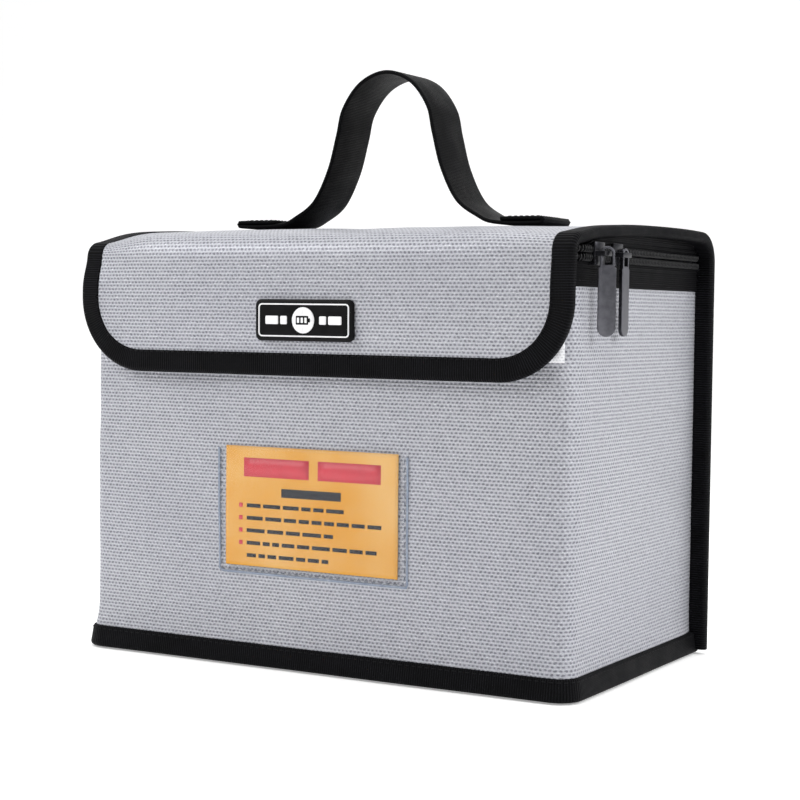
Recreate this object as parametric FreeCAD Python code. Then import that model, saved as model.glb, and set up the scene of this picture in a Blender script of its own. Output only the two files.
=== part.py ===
import FreeCAD, Part
import math
import os

from FreeCAD import Vector

# A zipped, padded box bag for storing and charging battery packs. Millimetres.
# The origin is the centre of the base, on the surface the bag stands on.
# +X is the side with the parked zip sliders, -Y is the front with the flap, +Z is up.

# Overall size, over the fabric
WIDTH = 215.0
DEPTH = 125.0
LID_EDGE_Z = 170.0
DOME_RISE = 4.3
CROWN_Y = 20.0
CORNER_R = 10.0

# Layers of the wall, from outside to inside
SKIN = 0.8
PADDING = 2.4
LINING = 0.6
FLAP_PADDING = 1.6

# Edge tape
BINDING = 1.0
SEAM_BULK = 2.0
BASE_BINDING_H = 8.5
BASE_BINDING_LIP = 6.0
CORNER_BINDING_W = 3.4
LID_BINDING_W = 4.2
FLAP_BINDING_W = 9.5

# Zip
ZIP_BELOW_LID = 8.0
ZIP_SLOT = 1.0
TAPE = 0.6
TAPE_W = 11.5
TAPE_ON_WALL = 6.0
COIL_W = 1.6
COIL_H = 1.2
ZIP_REAR_MARGIN = 3.0
COIL_REAR_MARGIN = 6.5
STOP_L = 2.0
HINGE_GAP = 0.6

# Flap
FLAP_GAP = 3.2
FLAP_BOTTOM_Z = 115.0
FLAP_CORNER_R = 30.0
NOSE_R = 8.0
FACING = 0.4
FACING_H = 27.5
TOUCH_STRIP = 1.1
TOUCH_STRIP_L = 170.0
TOUCH_STRIP_H = 20.0
TOUCH_STRIP_ABOVE = 12.0

# Badge on the flap
BADGE_W = 44.0
BADGE_H = 16.0
BADGE_T = 1.3
BADGE_Z = 136.5
BADGE_R = 2.0
BADGE_BORDER = 0.6
BADGE_MARGIN = 1.8
BADGE_RELIEF = 0.3
EMBLEM_R = 5.2
EMBLEM_BAR_L = 11.0
EMBLEM_BAR_H = 3.6

# Card in its clear pocket
CARD_W = 78.0
CARD_H = 47.0
CARD_Z = 40.0
CARD_T = 0.35
CARD_PLAY = 0.3
FILM = 0.3
FILM_SEAM = 3.0
FILM_SIDE_PLAY = 1.0

# Handle webbing
STRAP_W = 25.0
STRAP_T = 1.6
FOOT_END_X = 72.0
FOOT_INNER_X = 48.0
FOOT_FOLD_L = 18.0
LEG_FOOT_X = 43.0
LEG_TOP_X = 23.0
LOOP_RISE = 63.0
LOOP_PIVOT_RISE = 14.0
LOOP_LIFT = 1.5
SHOULDER_X = 11.0
SHOULDER_DROP = 4.0
# Each place on a leg: how far out from LEG_TOP_X, and its share of LOOP_RISE
LEG_CURVE = [(11.0, 0.14), (4.0, 0.34), (0.0, 0.56), (-3.0, 0.76)]

# Sliders and pulls
SLIDER_FRONT_Y = 15.5
SLIDER_PITCH = 17.0
SLIDER_L = 9.0
SLIDER_INNER_L = 6.0
SLIDER_H = 8.4
SLIDER_PLATE = 1.2
SLIDER_CLEAR = 0.3
SLIDER_WEB = 0.5
BAIL_L = 8.0
BAIL_BAR = 1.5
BAIL_OPENING = 2.2
BAIL_H = 1.8
PULL_W = 6.6
PULL_L = 25.0
PULL_T = 1.5
EYE_R = 1.7
EYE_BAR = 1.0
EYE_L = 4.0
PULL_TWIST_DEG = 29.0

HALF_W = WIDTH / 2
HALF_D = DEPTH / 2
WALL = SKIN + PADDING + LINING
FLAP_T = SKIN + FLAP_PADDING + LINING
ZIP_Z = LID_EDGE_Z - ZIP_BELOW_LID
SLOT_LOW_Z = ZIP_Z - ZIP_SLOT / 2
SLOT_HIGH_Z = ZIP_Z + ZIP_SLOT / 2
TAPE_LOW_Z = SLOT_LOW_Z - TAPE_W
WALL_TOP_Z = TAPE_LOW_Z + TAPE_ON_WALL
BODY_BACK_TOP_Z = ZIP_Z - HINGE_GAP / 2
LID_BACK_LOW_Z = ZIP_Z + HINGE_GAP / 2
FLAP_INNER_Y = -HALF_D - FLAP_GAP
FLAP_OUTER_Y = FLAP_INNER_Y - FLAP_T
NOSE_Y = FLAP_OUTER_Y + NOSE_R
DOME_R = ((HALF_D + CROWN_Y) ** 2 + DOME_RISE ** 2) / (2 * DOME_RISE)
DOME_Z = LID_EDGE_Z + DOME_RISE - DOME_R
NOSE_Z = DOME_Z + math.sqrt(DOME_R ** 2 - (NOSE_Y - CROWN_Y) ** 2) - NOSE_R
FLAP_TOP_Z = NOSE_Z - HINGE_GAP
CROWN_Z = LID_EDGE_Z + DOME_RISE
FAR = 2 * (WIDTH + DEPTH + LID_EDGE_Z)


def box(x0, x1, y0, y1, z0, z1):
    """A block between two corners."""
    return Part.makeBox(x1 - x0, y1 - y0, z1 - z0, Vector(x0, y0, z0))


def plan(inset, rear_y):
    """The bag's outline from above, moved in by inset, with round front corners."""
    x = HALF_W - inset
    y = -HALF_D + inset
    r = CORNER_R - inset
    s = r * math.sqrt(0.5)
    left = Part.Arc(Vector(-x, y + r, 0), Vector(-x + r - s, y + r - s, 0), Vector(-x + r, y, 0))
    right = Part.Arc(Vector(x - r, y, 0), Vector(x - r + s, y + r - s, 0), Vector(x, y + r, 0))
    edges = [
        Part.makeLine(Vector(-x, rear_y, 0), Vector(-x, y + r, 0)),
        left.toShape(),
        Part.makeLine(Vector(-x + r, y, 0), Vector(x - r, y, 0)),
        right.toShape(),
        Part.makeLine(Vector(x, y + r, 0), Vector(x, rear_y, 0)),
        Part.makeLine(Vector(x, rear_y, 0), Vector(-x, rear_y, 0)),
    ]
    return Part.Face(Part.Wire(edges))


def block(inset, rear_y, z0, z1):
    """The plan outline raised from z0 to z1."""
    face = plan(inset, rear_y)
    face.translate(Vector(0, 0, z0))
    return face.extrude(Vector(0, 0, z1 - z0))


def band(outer, inner, z0, z1, rear_y):
    """A strip round the left, front and right sides, open at the back."""
    return block(outer, rear_y, z0, z1).cut(block(inner, rear_y + CORNER_R, z0 - 1, z1 + 1))


def dome_z(y, offset):
    """Height of the domed lid's skin, moved out by offset, at a depth y."""
    return DOME_Z + math.sqrt((DOME_R + offset) ** 2 - (y - CROWN_Y) ** 2)


def dome_edge(y0, y1, offset):
    """Arc of the lid's dome between two depths, as an edge in the plane x = 0."""
    ends = [Vector(0, y, dome_z(y, offset)) for y in (y0, (y0 + y1) / 2, y1)]
    return Part.Arc(*ends).toShape()


def dome_slab(low, high, x0, x1, y0, y1):
    """A curved layer of the lid, between two offsets from the skin."""
    edges = [
        dome_edge(y0, y1, low),
        Part.makeLine(Vector(0, y1, dome_z(y1, low)), Vector(0, y1, dome_z(y1, high))),
        dome_edge(y0, y1, high),
        Part.makeLine(Vector(0, y0, dome_z(y0, high)), Vector(0, y0, dome_z(y0, low))),
    ]
    face = Part.Face(Part.Wire(Part.sortEdges(edges)[0]))
    face.translate(Vector(x0, 0, 0))
    return face.extrude(Vector(x1 - x0, 0, 0))


def nose(inner, outer, x0, x1):
    """A quarter tube that turns the lid's front edge down into the flap."""
    axis = Vector(1, 0, 0)
    at = Vector(x0, NOSE_Y, NOSE_Z)
    tube = Part.makeCylinder(outer, x1 - x0, at, axis).cut(Part.makeCylinder(inner, x1 - x0, at, axis))
    return tube.common(box(x0, x1, NOSE_Y - FAR, NOSE_Y, NOSE_Z, NOSE_Z + FAR))


def shield(inset, y0, y1, top_z):
    """The flap's outline, moved in by inset, between two depths."""
    x = HALF_W + SEAM_BULK + TAPE - inset
    z = FLAP_BOTTOM_Z + inset
    r = FLAP_CORNER_R - inset
    s = r * math.sqrt(0.5)
    right = Part.Arc(Vector(x, y0, z + r), Vector(x - r + s, y0, z + r - s), Vector(x - r, y0, z))
    left = Part.Arc(Vector(-x + r, y0, z), Vector(-x + r - s, y0, z + r - s), Vector(-x, y0, z + r))
    edges = [
        Part.makeLine(Vector(-x, y0, top_z), Vector(x, y0, top_z)),
        Part.makeLine(Vector(x, y0, top_z), Vector(x, y0, z + r)),
        right.toShape(),
        Part.makeLine(Vector(x - r, y0, z), Vector(-x + r, y0, z)),
        left.toShape(),
        Part.makeLine(Vector(-x, y0, z + r), Vector(-x, y0, top_z)),
    ]
    return Part.Face(Part.Wire(edges)).extrude(Vector(0, y1 - y0, 0))


def rounded_plate(width, height, radius, x, z, y0, y1):
    """An upright plate with round corners, centred at x and z."""
    plate = box(x - width / 2, x + width / 2, y0, y1, z - height / 2, z + height / 2)
    upright = [e for e in plate.Edges if abs(e.tangentAt(e.FirstParameter).y) > 0.9]
    return plate.makeFillet(radius, upright)


def body_shell():
    """Skins, padding and lining of the box below the zip."""
    base_z = BINDING
    floor_z = base_z + SKIN
    lining_z = floor_z + PADDING
    rear = HALF_D - SKIN
    rear_lining = rear - PADDING
    base = block(0, HALF_D, base_z, floor_z)
    base = base.fuse(block(BASE_BINDING_LIP, HALF_D - BASE_BINDING_LIP, 0, base_z))
    tub = block(SKIN + PADDING, rear_lining, lining_z, WALL_TOP_Z)
    tub = tub.cut(block(WALL, rear_lining - LINING, lining_z + LINING, WALL_TOP_Z + 1))
    return {
        "outer_wrap": band(0, SKIN, floor_z, WALL_TOP_Z, rear),
        "back_panel": box(-HALF_W, HALF_W, rear, HALF_D, floor_z, BODY_BACK_TOP_Z),
        "base_panel": base.removeSplitter(),
        "insulation_wrap": band(SKIN, SKIN + PADDING, lining_z, WALL_TOP_Z, rear_lining),
        "insulation_back": box(-HALF_W + SKIN, HALF_W - SKIN, rear_lining, rear, lining_z, BODY_BACK_TOP_Z),
        "insulation_base": block(SKIN, rear, floor_z, lining_z),
        "body_lining": tub,
    }


def body_bindings():
    """Edge tape round the base and up the two rear corners."""
    ring = block(-SEAM_BULK, HALF_D + BINDING, 0, BASE_BINDING_H)
    ring = ring.cut(block(0, HALF_D, BINDING, BASE_BINDING_H + 1))
    ring = ring.cut(block(BASE_BINDING_LIP, HALF_D - BASE_BINDING_LIP, -1, BINDING + 1))
    corner = box(HALF_W, HALF_W + CORNER_BINDING_W, HALF_D - SEAM_BULK, HALF_D + BINDING / 2,
                 BASE_BINDING_H, BODY_BACK_TOP_Z)
    return {
        "base_binding": ring,
        "back_binding_right": corner,
        "back_binding_left": corner.mirror(Vector(0, 0, 0), Vector(1, 0, 0)),
    }


def zip_lower():
    """Lower zip tape and coil, with the stops at its two rear ends."""
    rear = HALF_D - ZIP_REAR_MARGIN
    coil_rear = HALF_D - COIL_REAR_MARGIN
    stop = box(HALF_W + TAPE, HALF_W + TAPE + COIL_H, coil_rear + HINGE_GAP, coil_rear + HINGE_GAP + STOP_L,
               SLOT_LOW_Z - 2 * COIL_W, SLOT_LOW_Z)
    return {
        "zip_tape_lower": band(-TAPE, 0, TAPE_LOW_Z, SLOT_LOW_Z, rear),
        "zip_coil_lower": band(-TAPE - COIL_H, -TAPE, SLOT_LOW_Z - COIL_W, SLOT_LOW_Z, coil_rear),
        "zip_stop_right": stop,
        "zip_stop_left": stop.mirror(Vector(0, 0, 0), Vector(1, 0, 0)),
    }


def front_fittings():
    """Facing strip, loop strip, clear pocket and card on the front wall."""
    front = -HALF_D
    straight = HALF_W - CORNER_R
    strip_low = FLAP_BOTTOM_Z + TOUCH_STRIP_ABOVE
    facing = box(-straight, straight, front - FACING, front, TAPE_LOW_Z - FACING_H, TAPE_LOW_Z)
    loops = box(-TOUCH_STRIP_L / 2, TOUCH_STRIP_L / 2, front - FACING - TOUCH_STRIP, front - FACING,
                strip_low, strip_low + TOUCH_STRIP_H)
    card_front = front - CARD_PLAY - CARD_T
    card = box(-CARD_W / 2, CARD_W / 2, card_front, front - CARD_PLAY, CARD_Z, CARD_Z + CARD_H)
    film_back = card_front - CARD_PLAY
    inner_x = CARD_W / 2 + FILM_SIDE_PLAY
    outer_x = inner_x + FILM_SEAM
    inner_z = CARD_Z - CARD_PLAY
    film = box(-outer_x, outer_x, film_back - FILM, front, inner_z - FILM_SEAM, CARD_Z + CARD_H)
    film = film.cut(box(-inner_x, inner_x, film_back, front + 1, inner_z, CARD_Z + CARD_H + 1))
    return {"front_facing": facing, "loop_strip": loops, "card_window": film, "info_card": card}


def lid_shell():
    """Skin, padding and lining of the lid, its rolled front and its rear edge."""
    x = HALF_W
    rear = HALF_D
    low = LID_BACK_LOW_Z
    pad_r = NOSE_R - SKIN
    lining_r = pad_r - FLAP_PADDING
    skin = dome_slab(-SKIN, 0, -x, x, NOSE_Y, rear).fuse(nose(pad_r, NOSE_R, -x, x))
    skin = skin.fuse(box(-x, x, rear - SKIN, rear, low, dome_z(rear, -SKIN / 2)))
    rear_pad = rear - SKIN
    pad = dome_slab(-SKIN - PADDING, -SKIN, -x, x, NOSE_Y, rear_pad).fuse(nose(lining_r, pad_r, -x, x))
    pad = pad.fuse(box(-x, x, rear_pad - PADDING, rear_pad, low, dome_z(rear, -SKIN - PADDING / 2)))
    rear_lining = rear_pad - PADDING
    inside = dome_slab(-WALL, -SKIN - PADDING, -x, x, NOSE_Y, rear_lining)
    inside = inside.fuse(nose(lining_r - LINING, lining_r, -x, x))
    step = box(-x, x, NOSE_Y - LINING, NOSE_Y, dome_z(NOSE_Y, -WALL), NOSE_Z + lining_r - LINING / 2)
    inside = inside.fuse(step)
    lap = box(-x, x, rear_lining - LINING, rear_lining, low, dome_z(rear_lining, -WALL + LINING / 2))
    return {
        "lid_panel": skin.removeSplitter(),
        "insulation_lid": pad.cut(skin).removeSplitter(),
        "lid_lining": inside.fuse(lap).removeSplitter(),
    }


def zip_upper(lid):
    """Upper zip tape, which hangs from the lid's edge, and its coil."""
    rear = HALF_D - ZIP_REAR_MARGIN
    tape = band(-TAPE, 0, SLOT_HIGH_Z, CROWN_Z, rear)
    below_skin = dome_slab(-FAR / 4, -SKIN, -FAR, FAR, -HALF_D - TAPE, rear)
    tape = tape.common(below_skin)
    for layer in lid.values():
        tape = tape.cut(layer)
    largest = max(tape.Solids, key=lambda solid: solid.Volume)
    coil = band(-TAPE - COIL_H, -TAPE, SLOT_HIGH_Z, SLOT_HIGH_Z + COIL_W, HALF_D - COIL_REAR_MARGIN)
    return {"zip_tape_upper": largest, "zip_coil_upper": coil}


def lid_bindings():
    """Edge tape along each side of the lid, round its nose and down its rear corner."""
    inner = HALF_W + TAPE
    outer = inner + SEAM_BULK
    top_in = HALF_W - LID_BINDING_W
    nose_in = NOSE_R - FLAP_T
    tape = dome_slab(-LID_BINDING_W, BINDING, inner, outer, NOSE_Y, HALF_D)
    tape = tape.fuse(dome_slab(0, BINDING, top_in, inner, NOSE_Y, HALF_D))
    tape = tape.fuse(nose(NOSE_R, NOSE_R + BINDING, top_in, outer))
    tape = tape.fuse(nose(nose_in, NOSE_R + BINDING / 2, inner, outer))
    corner = box(HALF_W, HALF_W + CORNER_BINDING_W, HALF_D - SEAM_BULK, HALF_D + BINDING / 2,
                 LID_BACK_LOW_Z, dome_z(HALF_D, BINDING / 2))
    right = tape.fuse(corner).removeSplitter()
    return {
        "lid_binding_right": right,
        "lid_binding_left": right.mirror(Vector(0, 0, 0), Vector(1, 0, 0)),
    }


def flap_parts():
    """The front flap: skin, padding, lining, edge tape and hook strip."""
    y = FLAP_OUTER_Y
    pad_y = y + SKIN
    lining_y = pad_y + FLAP_PADDING
    core = shield(BINDING, y, FLAP_INNER_Y, FLAP_TOP_Z)
    tape = shield(0, y - BINDING, FLAP_INNER_Y + BINDING, FLAP_TOP_Z)
    hole = shield(FLAP_BINDING_W, y - FAR, FAR, FLAP_TOP_Z + FAR)
    low = FLAP_BOTTOM_Z + TOUCH_STRIP_ABOVE
    hooks = box(-TOUCH_STRIP_L / 2, TOUCH_STRIP_L / 2, FLAP_INNER_Y, FLAP_INNER_Y + TOUCH_STRIP,
                low, low + TOUCH_STRIP_H)
    return {
        "flap_panel": shield(BINDING, y, pad_y, FLAP_TOP_Z),
        "insulation_flap": shield(BINDING, pad_y, lining_y, FLAP_TOP_Z),
        "flap_lining": shield(BINDING, lining_y, FLAP_INNER_Y, FLAP_TOP_Z),
        "flap_binding": tape.cut(core).cut(hole),
        "hook_strip": hooks,
    }


def badge_parts():
    """A moulded rubber badge with a raised border line and a raised plain emblem."""
    face_y = FLAP_OUTER_Y - BADGE_T
    top_y = face_y - BADGE_RELIEF
    plate = rounded_plate(BADGE_W, BADGE_H, BADGE_R, 0, BADGE_Z, face_y, FLAP_OUTER_Y)
    outer_w = BADGE_W - 2 * BADGE_MARGIN
    outer_h = BADGE_H - 2 * BADGE_MARGIN
    line = 2 * BADGE_BORDER
    border = rounded_plate(outer_w, outer_h, BADGE_R, 0, BADGE_Z, top_y, face_y)
    border = border.cut(rounded_plate(outer_w - line, outer_h - line, BADGE_R - BADGE_BORDER, 0, BADGE_Z,
                                      top_y - 1, face_y + 1))
    disc = Part.makeCylinder(EMBLEM_R, BADGE_RELIEF, Vector(0, top_y, BADGE_Z), Vector(0, 1, 0))
    bar_x = EMBLEM_R + EMBLEM_BAR_L / 2 + BADGE_BORDER
    bars = [rounded_plate(EMBLEM_BAR_L, EMBLEM_BAR_H, BADGE_BORDER, x, BADGE_Z, top_y, face_y)
            for x in (-bar_x, bar_x)]
    return {
        "badge_base": plate,
        "badge_border": border,
        "badge_emblem": Part.makeCompound([disc] + bars),
    }


def handle_feet():
    """The sewn ends of the handle, folded double at their outer ends."""
    inner = box(FOOT_INNER_X, FOOT_END_X, -STRAP_W / 2, STRAP_W / 2, CROWN_Z, CROWN_Z + STRAP_T)
    fold = box(FOOT_END_X - FOOT_FOLD_L, FOOT_END_X, -STRAP_W / 2, STRAP_W / 2,
               CROWN_Z + STRAP_T, CROWN_Z + 2 * STRAP_T)
    right = inner.fuse(fold).removeSplitter()
    return {"handle_foot_right": right, "handle_foot_left": right.mirror(Vector(0, 0, 0), Vector(1, 0, 0))}


def loop_side(offset):
    """One side of the handle webbing: an S up each leg and a round top, offset along its normal."""
    low = CROWN_Z + LOOP_LIFT
    top = CROWN_Z + LOOP_RISE
    half = [Vector(LEG_TOP_X + dx, 0, low + share * LOOP_RISE) for dx, share in LEG_CURVE]
    half = [Vector(LEG_FOOT_X, 0, low)] + half + [Vector(SHOULDER_X, 0, top - SHOULDER_DROP)]
    line = half + [Vector(0, 0, top)] + [Vector(-p.x, 0, p.z) for p in reversed(half)]
    curve = Part.BSplineCurve()
    curve.interpolate(line)
    moved = []
    for point in line:
        tangent = curve.tangent(curve.parameter(point))[0]
        moved.append(point + Vector(tangent.z, 0, -tangent.x) * offset)
    side = Part.BSplineCurve()
    side.interpolate(moved)
    return side


def handle_loop():
    """The free webbing of the handle, with round ends about the line it tips on."""
    inner = loop_side(-STRAP_T / 2)
    outer = loop_side(STRAP_T / 2)
    edges = [
        inner.toShape(),
        outer.toShape(),
        Part.makeLine(inner.StartPoint, outer.StartPoint),
        Part.makeLine(inner.EndPoint, outer.EndPoint),
    ]
    face = Part.Face(Part.Wire(Part.sortEdges(edges)[0]))
    face.translate(Vector(0, -STRAP_W / 2, 0))
    strap = face.extrude(Vector(0, STRAP_W, 0))
    pivot_z = CROWN_Z + LOOP_PIVOT_RISE
    foot = Part.makeCylinder(STRAP_W / 2, WIDTH, Vector(-HALF_W, 0, pivot_z), Vector(1, 0, 0))
    above = box(-HALF_W, HALF_W, -STRAP_W / 2, STRAP_W / 2, pivot_z, pivot_z + FAR)
    return {"handle_loop": strap.common(foot.fuse(above))}


def slider(y):
    """A zip slider: outer plate with a bail, a web through the slot, and an inner plate."""
    half = SLIDER_L / 2
    plate_in = HALF_W + TAPE + COIL_H + SLIDER_CLEAR
    plate_out = plate_in + SLIDER_PLATE
    low = ZIP_Z - SLIDER_H / 2
    high = ZIP_Z + SLIDER_H / 2
    plate = box(plate_in, plate_out, y - half, y + half, low, high)
    lip = box(plate_in - COIL_H, plate_in, y - half, y + half, low, low + SLIDER_PLATE)
    web_in = HALF_W - SLIDER_CLEAR - SLIDER_PLATE
    inner_half = SLIDER_INNER_L / 2
    web = box(web_in, plate_in, y - inner_half, y + inner_half,
              ZIP_Z - SLIDER_WEB / 2, ZIP_Z + SLIDER_WEB / 2)
    inner = box(web_in, web_in + SLIDER_PLATE, y - inner_half, y + inner_half, low, high)
    bail_out = plate_out + BAIL_OPENING + BAIL_BAR
    bail = box(plate_out, bail_out, y - BAIL_L / 2, y + BAIL_L / 2, ZIP_Z - BAIL_H / 2, ZIP_Z + BAIL_H / 2)
    gap = BAIL_L / 2 - BAIL_BAR
    bail = bail.cut(box(plate_out, plate_out + BAIL_OPENING, y - gap, y + gap, low, high))
    whole = plate.fuse(lip).fuse(web).fuse(inner).fuse(bail)
    return whole.removeSplitter()


def pull_blank():
    """A zip pull hanging flat in the plane y = 0, with its eye round the origin."""
    outer = EYE_R + EYE_BAR
    shape = Part.makeCylinder(outer, PULL_T, Vector(0, -PULL_T / 2, 0), Vector(0, 1, 0))
    neck_z = -EYE_L - EYE_BAR
    shape = shape.fuse(box(-outer, outer, -PULL_T / 2, PULL_T / 2, neck_z, 0))
    tongue_end = neck_z - PULL_L + PULL_W / 2
    shape = shape.fuse(box(-PULL_W / 2, PULL_W / 2, -PULL_T / 2, PULL_T / 2, tongue_end, neck_z))
    tip = Part.makeCylinder(PULL_W / 2, PULL_T, Vector(0, -PULL_T / 2, tongue_end), Vector(0, 1, 0))
    shape = shape.fuse(tip)
    shape = shape.cut(Part.makeCylinder(EYE_R, PULL_T, Vector(0, -PULL_T / 2, 0), Vector(0, 1, 0)))
    shape = shape.cut(box(-EYE_R, EYE_R, -PULL_T / 2, PULL_T / 2, -EYE_L, 0))
    return shape.removeSplitter()


def slider_parts():
    """Two sliders parked nose to nose, each with its pull linked through the bail."""
    front_y = -HALF_D + SLIDER_FRONT_Y
    rear_y = front_y + SLIDER_PITCH
    plate_out = HALF_W + TAPE + COIL_H + SLIDER_CLEAR + SLIDER_PLATE
    bar_x = plate_out + BAIL_OPENING + BAIL_BAR / 2
    twisted = pull_blank()
    twisted.rotate(Vector(0, 0, 0), Vector(0, 0, 1), PULL_TWIST_DEG)
    twisted.translate(Vector(bar_x, front_y, ZIP_Z))
    flat = pull_blank()
    flat.rotate(Vector(0, 0, 0), Vector(0, 0, 1), 90)
    leg_y = rear_y + BAIL_L / 2 - BAIL_BAR / 2
    flat.translate(Vector(plate_out + BAIL_OPENING / 2, leg_y, ZIP_Z))
    return {
        "slider_front": slider(front_y),
        "slider_rear": slider(rear_y),
        "pull_front": twisted,
        "pull_rear": flat,
    }


def build():
    """All the bag's pieces, by name."""
    lid = lid_shell()
    pieces = {}
    for group in (body_shell(), body_bindings(), zip_lower(), front_fittings(), lid, zip_upper(lid),
                  lid_bindings(), flap_parts(), badge_parts(), handle_feet(), handle_loop(), slider_parts()):
        pieces.update(group)
    return pieces


os.makedirs("parts", exist_ok=True)
for name, shape in build().items():
    shape.exportStep("parts/" + name + ".step")
    print(name, shape.isValid(), len(shape.Solids), round(shape.Volume, 1))
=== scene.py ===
"""A padded battery bag: a silver cloth box with a zipped lid, a flap, a webbing handle and a card pocket."""

import math

import bpy
import numpy as np
from mathutils import Matrix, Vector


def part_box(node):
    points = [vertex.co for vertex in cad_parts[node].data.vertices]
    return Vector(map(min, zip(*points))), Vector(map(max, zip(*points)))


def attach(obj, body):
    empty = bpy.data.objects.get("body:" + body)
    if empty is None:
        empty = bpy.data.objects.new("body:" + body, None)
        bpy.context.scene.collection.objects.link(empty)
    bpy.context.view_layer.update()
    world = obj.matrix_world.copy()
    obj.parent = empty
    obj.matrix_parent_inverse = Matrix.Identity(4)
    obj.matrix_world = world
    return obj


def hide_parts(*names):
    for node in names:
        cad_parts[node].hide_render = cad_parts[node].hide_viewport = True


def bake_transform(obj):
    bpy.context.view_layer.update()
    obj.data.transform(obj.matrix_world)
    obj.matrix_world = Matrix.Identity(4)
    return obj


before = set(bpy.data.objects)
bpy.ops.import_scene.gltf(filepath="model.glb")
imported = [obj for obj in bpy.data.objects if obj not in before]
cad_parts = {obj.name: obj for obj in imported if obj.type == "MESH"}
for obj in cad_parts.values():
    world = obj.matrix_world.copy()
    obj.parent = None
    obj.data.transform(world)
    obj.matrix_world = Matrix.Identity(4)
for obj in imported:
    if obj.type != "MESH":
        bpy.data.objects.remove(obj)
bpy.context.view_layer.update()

# Everything below is worked out in millimetres and written to the meshes in metres.
MM = 0.001


def span(node):
    """Lowest and highest corner of a CAD node, in millimetres."""
    low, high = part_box(node)
    return np.array(low) / MM, np.array(high) / MM


# Places and sizes taken from the frame
HALF_W = span("outer_wrap")[1][0]
FRONT_Y = span("outer_wrap")[0][1]
BACK_Y = span("back_panel")[1][1]
WALL_TOP = span("outer_wrap")[1][2]
TAPE_LOW = span("zip_tape_lower")[0][2]
SLOT_LOW = span("zip_coil_lower")[1][2]
SLOT_HIGH = span("zip_coil_upper")[0][2]
ZIP_Z = (SLOT_LOW + SLOT_HIGH) / 2
COIL_REAR = span("zip_coil_lower")[1][1]
TAPE_REAR = span("zip_tape_lower")[1][1]
CROWN_Z = span("lid_panel")[1][2]
FLAP_Y = span("flap_panel")[0][1]
FLAP_HALF = span("flap_binding")[1][0]
FLAP_LOW = span("flap_binding")[0][2]
FLAP_TOP = span("flap_binding")[1][2]
BASE_TAPE_TOP = span("base_binding")[1][2]
BADGE_LOW, BADGE_HIGH = span("badge_base")
CARD_LOW, CARD_HIGH = span("info_card")
FILM_LOW, FILM_HIGH = span("card_window")
FOOT_END = span("handle_foot_right")[1][0]
LOOP_LOW, LOOP_HIGH = span("handle_loop")

# Sizes of the sewn shapes. The long panel is one cloth that makes the back, the lid and the flap.
DOME_RISE = 4.3
CROWN_Y = 20.0
NOSE_R = 8.0
REAR_R = 12.0
FOLD_R = 6.0
PANEL_T = 3.6
SKIN_T = 1.0
CLOTH_T = 0.6
TAPE_W = 9.5
TAPE_T = 4.6
TAPE_FLARE = 4.9
FLAP_CORNER_R = 30.0
STRAP_T = 1.6
SHARPEST_CORNER = 0.02
WRAP_END_Y = BACK_Y - 1.2
FRONT_EDGE_Z = CROWN_Z - DOME_RISE
NOSE_Y = FLAP_Y + NOSE_R
PANEL_COLUMNS = 90
PANEL_STEP = 1.6

# How far the padding pushes the cloth out in the middle of each face, and how far the lid's front corners sag
FRONT_BELLY = 2.6
SIDE_BELLY = 1.6
BACK_BELLY = 2.2
FLAP_BELLY = 1.7
LID_BELLY = 0.5
SEAM_FLARE = 1.5
LEFT_DROOP = 3.6
RIGHT_DROOP = 1.2


# ---- meshes

def new_object(name, data):
    """An object in the scene with its mesh, lamp or camera data."""
    thing = bpy.data.objects.new(name, data)
    bpy.context.scene.collection.objects.link(thing)
    return thing


def place(name, verts, faces, uvs, material, body=None):
    """A mesh object from millimetre points, faces of point numbers and one UV pair per face corner."""
    mesh = bpy.data.meshes.new(name)
    mesh.from_pydata((np.asarray(verts) * MM).tolist(), [], faces)
    layer = mesh.uv_layers.new(name="UVMap")
    layer.data.foreach_set("uv", (np.asarray(uvs, float) * MM).ravel())
    mesh.polygons.foreach_set("use_smooth", np.full(len(mesh.polygons), True))
    mesh.materials.append(material)
    mesh.validate()
    thing = new_object(name, mesh)
    if body:
        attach(thing, body)
    return thing


def grid(first, second):
    """Two rows of numbers spread over a grid, the first down it and the second across it."""
    return np.meshgrid(first, second, indexing="ij")


def surface_points(*parts):
    """Arrays stacked as the coordinates of points, each spread to the same grid."""
    return np.stack(np.broadcast_arrays(*parts), -1)


def add_height(plan, z):
    """Points of a plan, or directions in it, with a third coordinate."""
    return np.concatenate([plan, np.broadcast_to(np.reshape(z, (-1, 1)), (len(plan), 1))], -1)


def grid_faces(rows, columns, wrap_rows=False, wrap_columns=False):
    """Quads over a grid of points, and for each corner its unwrapped row and column."""
    i, j = grid(np.arange(rows - (not wrap_rows)), np.arange(columns - (not wrap_columns)))
    i = np.stack([i, i + 1, i + 1, i], -1).reshape(-1, 4)
    j = np.stack([j, j, j + 1, j + 1], -1).reshape(-1, 4)
    return (i % rows) * columns + j % columns, i, j


def tube_mesh(name, points, lengths, around, material, body=None, closed=False, flip=False):
    """A closed skin over rings of points: points[ring, place on ring]. The rings are joined end to end when
    closed, and otherwise each end is capped. lengths and around give each corner's UV in millimetres."""
    rings, per = points.shape[:2]
    quads, i, j = grid_faces(rings, per, closed, True)
    uv = np.stack([np.asarray(lengths)[i], np.asarray(around)[j]], -1)
    if flip:
        quads, uv = quads[:, ::-1], uv[:, ::-1]
    faces, uvs = quads.tolist(), uv.reshape(-1, 2)
    if not closed:
        first = np.arange(per)
        last = (rings - 1) * per + first[::-1]
        first_uv = surface_points(lengths[0], around[:per])
        last_uv = surface_points(lengths[-1], around[:per][::-1])
        way = -1 if flip else 1
        faces += [first[::way].tolist(), last[::way].tolist()]
        uvs = np.concatenate([uvs, first_uv[::way], last_uv[::way]])
    return place(name, points.reshape(-1, 3), faces, uvs, material, body)


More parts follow.
